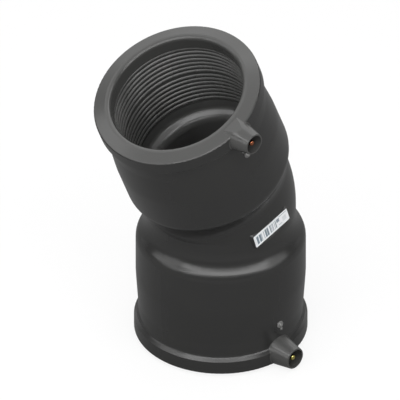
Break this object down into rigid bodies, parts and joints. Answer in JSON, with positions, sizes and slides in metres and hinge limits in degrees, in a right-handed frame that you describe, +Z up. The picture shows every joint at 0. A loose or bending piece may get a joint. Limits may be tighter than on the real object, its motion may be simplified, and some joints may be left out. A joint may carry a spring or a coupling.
{
  "type": "electrofusion elbow",
  "caption": "Black polyethylene electrofusion elbow, a 22.5 degree bend between two heated pipe sockets, each with a terminal shroud and a fusion indicator.",
  "frame": {"origin": "centre of the lower socket's end face", "axes": "+Z up the lower socket's axis into the fitting, +X the way the upper socket leans, +Y the way both terminals point"},
  "size_m": [0.1514, 0.1273, 0.2304],
  "materials": {
    "body": "satin moulded",
    "coil": "satin",
    "wire": "drawn",
    "brass_pin": "turned",
    "copper_pin": "turned",
    "indicator": "satin",
    "label": "satin film"
  },
  "bodies": {
    "root": {"elbow_body": "body", "lower_heating_coil": "coil", "upper_heating_coil": "coil", "link_wire": "wire", "lower_terminal_pin": "brass_pin", "upper_terminal_pin": "copper_pin", "lower_indicator_pin": "indicator", "upper_indicator_pin": "indicator", "barcode_label": "label"}
  },
  "joints": []
}
